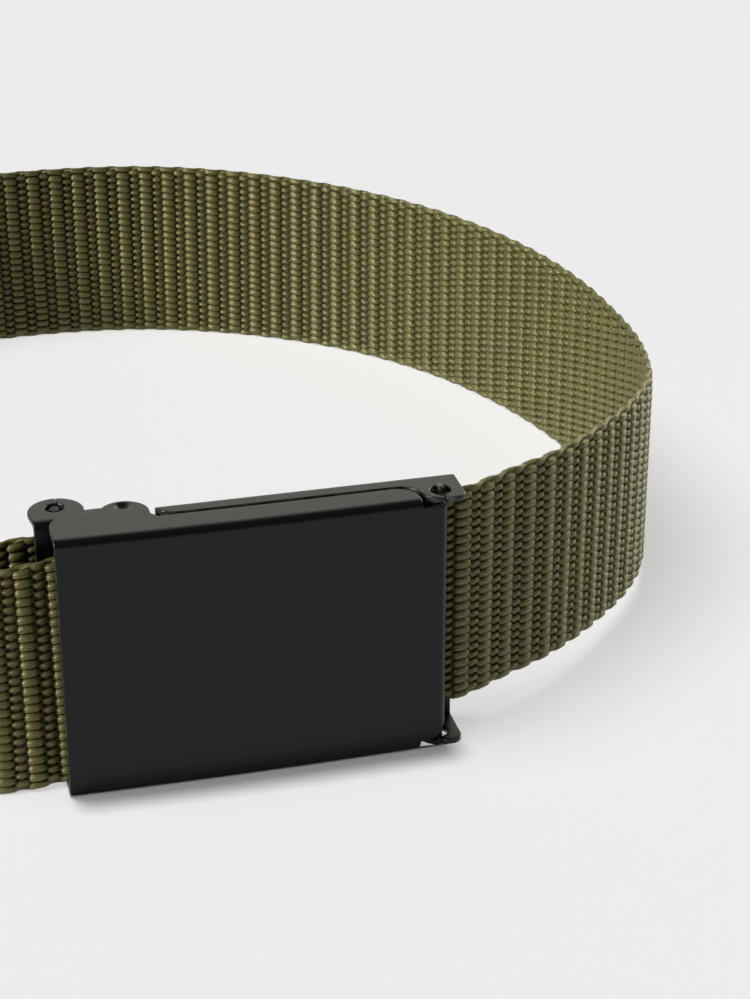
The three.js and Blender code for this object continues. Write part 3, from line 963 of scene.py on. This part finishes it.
BRIDGE_HALF = MIDDLE_UP - BRIDGE["drop"] - FOLD_RADIUS
BRIDGE_FOLD_LENGTH = QUARTER * INNER_RADIUS
BRIDGE_FLANGE_START = BRIDGE_HALF + BRIDGE_FOLD_LENGTH
BRIDGE_REAR = BRIDGE["front"] + SHEET


def ear_t(y):
    return FLANGE_START + BACK_FACE - FOLD_RADIUS - y


def bridge_t(y):
    return BRIDGE_FLANGE_START + y - BRIDGE_REAR - INNER_RADIUS


# Angle at which a circle passes a place x on its upper half
def angle_at(x, centre_x, radius):
    return math.degrees(math.acos((x - centre_x) / radius))


# A round hole that a slit joins to the ear's edge, from the slit's right side round to its left side
def slit_hole(hole, t):
    left, right = hole["slit"]
    start = angle_at(right, hole["x"], hole["hole"])
    end = angle_at(left, hole["x"], hole["hole"]) - 360
    return arc(hole["x"], t, hole["hole"], start, end, 2 * ARC_POINTS)


def hinge_ear():
    middle = EAR["middle"]
    left_radius = EAR["left_radius"]
    right_radius = EAR["right_radius"]
    fillet = EAR["fillet"]
    strip_t = ear_t(STRIP["front"])
    ear_middle = ear_t(EAR["front"] + left_radius)
    turn = math.asin((ear_middle - strip_t - fillet) / (left_radius + fillet))
    fillet_x = middle - (left_radius + fillet) * math.cos(turn)
    turn = math.degrees(turn)
    slit_left, slit_right = HINGE["slit"]
    return [
        *arc(EAR["right"] - right_radius, ear_t(EAR["front"] + right_radius), right_radius, 0, 90),
        (slit_right, ear_t(EAR["front"])),
        *slit_hole(HINGE, ear_t(HINGE["y"])),
        *arc(middle, ear_middle, left_radius, angle_at(slit_left, middle, left_radius), 180 + turn),
        *arc(fillet_x, strip_t + fillet, fillet, turn, -90),
    ]


def clamp_ear():
    x, radius = CLAMP["x"], CLAMP["radius"]
    middle = bridge_t(CLAMP["y"])
    ledge = bridge_t(BRIDGE["flange_rear"])
    start = -math.degrees(math.asin((middle - ledge) / radius))
    slit_left, slit_right = CLAMP_HOLE["slit"]
    return [
        (BRIDGE["right"], ledge),
        *arc(x, middle, radius, start, angle_at(slit_right, x, radius)),
        *slit_hole(CLAMP_HOLE, bridge_t(CLAMP_HOLE["y"])),
        *arc(x, middle, radius, angle_at(slit_left, x, radius), 180),
    ]


def frame_blank():
    radius = STRIP["end_radius"]
    half = [
        *hinge_ear(),
        *arc(STRIP["left"] + radius, ear_t(STRIP["front"]) - radius, radius, 90, 180),
        (STRIP["left"], BRIDGE_HALF),
        (BRIDGE["right"], BRIDGE_HALF),
        *clamp_ear(),
        (BRIDGE["left"], BRIDGE_HALF),
    ]
    return whole_blank(half, half)


def frame_place(x, t, depth):
    side = 1 if t > 0 else -1
    half = abs(t)
    if x >= STRIP["left"]:
        angle = min(max(half - FACE_HALF, 0) / FOLD_RADIUS, QUARTER)
        past = max(0, half - FLANGE_START)
        back = BACK_FACE - FOLD_RADIUS + (FOLD_RADIUS - depth) * math.cos(angle) - past
        height = min(half, FACE_HALF) + (FOLD_RADIUS - depth) * math.sin(angle)
        return x, back, MIDDLE_UP + side * height
    if x <= BRIDGE["right"]:
        angle = min(max(half - BRIDGE_HALF, 0) / INNER_RADIUS, QUARTER)
        past = max(0, half - BRIDGE_FLANGE_START)
        back = BRIDGE_REAR + INNER_RADIUS - (INNER_RADIUS + depth) * math.cos(angle) + past
        height = min(half, BRIDGE_HALF) + (INNER_RADIUS + depth) * math.sin(angle)
        return x, back, MIDDLE_UP + side * height
    run = STRIP["left"] - BRIDGE["right"]
    share = (STRIP["left"] - x) / run
    drop = BRIDGE_REAR - BACK_FACE
    back = BACK_FACE + drop * share * share * (3 - 2 * share)
    slope = -drop * 6 * share * (1 - share) / run
    steep = math.hypot(slope, 1)
    return x + depth * slope / steep, back - depth / steep, MIDDLE_UP + t


def frame_mesh():
    cuts_x = fold_cuts(BRIDGE["right"], STRIP["left"] - BRIDGE["right"])
    bridge_cuts = fold_cuts(BRIDGE_HALF, BRIDGE_FOLD_LENGTH, BRIDGE_FOLD_STEPS)
    cuts_t = [0, *fold_cuts(FACE_HALF, FOLD_LENGTH), *bridge_cuts]
    return sheet_mesh("buckle_frame_sheet", frame_blank(), cuts_x, both_halves(cuts_t), frame_place)


# Materials

def new_material(name):
    material = bpy.data.materials.new(name)
    material.use_nodes = True
    tree = material.node_tree
    return material, tree, tree.nodes["Principled BSDF"]


def mixed(tree, share, first, second):
    node = tree.nodes.new("ShaderNodeMix")
    node.data_type = "RGBA"
    feed(tree, node.inputs["Factor"], share)
    for socket, colour in ((node.inputs[6], first), (node.inputs[7], second)):
        feed(tree, socket, colour)
    return Flow(tree, node.outputs[2])


def bumped(tree, shader, height, distance):
    node = tree.nodes.new("ShaderNodeBump")
    node.inputs["Distance"].default_value = distance
    feed(tree, node.inputs["Height"], height)
    tree.links.new(node.outputs[0], shader.inputs["Normal"])


def own_place(tree):
    return Flow(tree, tree.nodes.new("ShaderNodeTexCoord").outputs["Object"])


def named(tree, name):
    node = tree.nodes.new("ShaderNodeAttribute")
    node.attribute_name = name
    return node


# Olive webbing yarn: twisted filaments, painted shade that makes them darker where they lie low and lighter
# where they lie on top, and uneven dye
def yarn_material():
    material, tree, shader = new_material("olive_yarn")
    where = Flow(tree, named(tree, "yarn_map").outputs["Vector"])
    along = where.part(0)
    turn = where.part(1)
    painted_light = Flow(tree, named(tree, "painted_light").outputs["Fac"])
    twist = ((along * TWISTS["along"] + turn * TWISTS["round"]) * (2 * HALF_TURN)).maths("SINE")
    strands = combined(tree, along * FILAMENTS["along"], turn * FILAMENTS["round"], 0.0)
    filaments = noise(tree, strands, 1.0, 2.0)
    dye = noise(tree, own_place(tree), DYE_FINENESS, 2.0)
    number = turn.maths("FLOOR")
    shades = combined(tree, along * YARN_SHADES["along"], number * YARN_SHADES["between"], 0.0)
    yarn = noise(tree, shades, 1.0, 1.0)
    light = mixed(tree, dye * DYE_SHARE + yarn * (1 - DYE_SHARE), YARN_OLIVE, YARN_PALE)
    # Painted shade: the colour darkens where the yarn lies low between others and is lightest on its crests
    colour = mixed(tree, (painted_light * CREST_PAINTED_LIGHT + LEAST_PAINTED_LIGHT).clamped(), YARN_PAINTED_SHADE, light)
    tree.links.new(colour.socket, shader.inputs["Base Color"])
    shader.inputs["Roughness"].default_value = YARN_ROUGHNESS
    shader.inputs["Specular IOR Level"].default_value = YARN_GLOSS
    shader.inputs["Specular Tint"].default_value = YARN_SHEEN
    bumped(tree, shader, twist * TWISTS["height"] + filaments, YARN_BUMP * MM)
    return material


# The webbing's inside, coloured dark as painted shade between the yarns
def core_painted_shade_material():
    material, tree, shader = new_material("webbing_inside_painted_shade")
    dye = noise(tree, own_place(tree), INSIDE_FINENESS, 2.0)
    colour = mixed(tree, dye, INSIDE_PAINTED_SHADE, INSIDE_PAINTED_SHADE_PALE)
    tree.links.new(colour.socket, shader.inputs["Base Color"])
    shader.inputs["Roughness"].default_value = 0.9
    return material


# Matt black coat with a fine grain, rubbed a little at the edges
def coat_material(name, colour, rubbed, roughness):
    material, tree, shader = new_material(name)
    place = own_place(tree)
    grain = noise(tree, place, COAT_GRAIN, 2.0)
    cloud = noise(tree, place, COAT_CLOUDS, 3.0)
    wear = Flow(tree, named(tree, "edge_wear").outputs["Fac"])
    patchy = noise(tree, place, RUBBED["fineness"], 2.0)
    share = wear * (patchy * RUBBED["contrast"] - RUBBED["less"]).clamped()
    base = mixed(tree, share, colour, rubbed)
    tree.links.new(base.socket, shader.inputs["Base Color"])
    rough = roughness + cloud * COAT_UNEVEN - wear * RUBBED["smoother"]
    tree.links.new(rough.socket, shader.inputs["Roughness"])
    shader.inputs["Specular IOR Level"].default_value = COAT_GLOSS
    bumped(tree, shader, grain, COAT_BUMP * MM)
    return material


def floor_material():
    material, tree, shader = new_material("studio_floor")
    shader.inputs["Base Color"].default_value = FLOOR_GREY
    shader.inputs["Roughness"].default_value = 0.9
    shader.inputs["Specular IOR Level"].default_value = 0.1
    return material


# Studio

def add_floor():
    corners = [(x * FLOOR_REACH, y * FLOOR_REACH, 0) for x, y in ((-1, -1), (1, -1), (1, 1), (-1, 1))]
    mesh = mesh_from("floor", corners, [(0, 1, 2, 3)])
    mesh.materials.append(floor_material())
    floor = add_object("floor", mesh)
    return floor


# A large soft light so far away that it falls evenly on the floor
def add_light(name, comes_from, spread, strength, colour):
    data = bpy.data.lights.new(name, "SUN")
    data.angle = math.radians(spread)
    data.energy = strength
    data.color = colour
    light = bpy.data.objects.new(name, data)
    light.rotation_euler = Vector(comes_from).to_track_quat("Z", "Y").to_euler()
    bpy.context.scene.collection.objects.link(light)
    return light


# The floor has lights of its own, so that it stays even; the narrow one is blocked by the cover alone
def light_studio(floor):
    for rows, state in ((FLOOR_LIGHTS, "INCLUDE"), (BELT_LIGHTS, "EXCLUDE")):
        receivers = bpy.data.collections.new("floor_" + state.lower())
        receivers.objects.link(floor)
        receivers.collection_objects[0].light_linking.link_state = state
        for row in rows:
            add_light(*row).light_linking.receiver_collection = receivers
    blockers = bpy.data.collections.new("blocks_overhead")
    blockers.objects.link(bpy.data.objects["buckle_cover_sheet"])
    bpy.data.objects["overhead"].light_linking.blocker_collection = blockers
    world = bpy.data.worlds.new("studio")
    world.use_nodes = True
    background = world.node_tree.nodes["Background"]
    background.inputs["Color"].default_value = (*WHITE, 1)
    background.inputs["Strength"].default_value = ROOM_LIGHT
    bpy.context.scene.world = world
    bpy.context.scene.view_settings.view_transform = "Standard"


# The object

def add_webbing():
    yarn = yarn_material()
    line = add_strap_line()
    warp = warp_tree()
    pieces = []
    for number, first in enumerate(range(0, WARP_YARNS, YARNS_IN_A_PIECE)):
        here = min(YARNS_IN_A_PIECE, WARP_YARNS - first)
        sizes = {**WARP_SIZES, "First yarn": first, "Yarns here": here}
        pieces.append(yarn_piece(f"warp_yarns_{number + 1}", line, warp, sizes, yarn))
    pieces.append(yarn_piece("weft_yarn", line, weft_tree(), WEFT_SIZES, yarn))
    bpy.data.objects.remove(line)
    core = add_object("webbing_core", core_mesh())
    # The core is coloured dark as painted shade in the small holes of the weave
    core.data.materials.append(core_painted_shade_material())
    for piece in (core, *pieces):
        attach(piece, "root")
    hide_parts("strap")


def add_buckle():
    black = coat_material("black_coat", *COAT)
    for name, mesh, node in (
        ("buckle_cover_sheet", cover_mesh(), "buckle_cover"),
        ("buckle_frame_sheet", frame_mesh(), "buckle_frame"),
    ):
        mesh.materials.append(black)
        piece = add_object(name, mesh)
        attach(piece, "root")
        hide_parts(node)


# The clamp bar keeps its CAD shape, with its edges rounded
def finish_clamp_bar():
    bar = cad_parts["clamp_bar"]
    steel = coat_material("bar_steel", *BAR_STEEL)
    if not bar.material_slots:
        bar.data.materials.append(steel)
    for slot in bar.material_slots:
        slot.material = steel
    weld = bar.modifiers.new("weld", "WELD")
    weld.merge_threshold = BAR_WELD * MM
    rounded = bar.modifiers.new("rounded", "BEVEL")
    rounded.width = BAR_EDGE * MM
    rounded.segments = 2
    rounded.limit_method = "ANGLE"


add_camera()
add_buckle()
add_webbing()
finish_clamp_bar()
light_studio(add_floor())
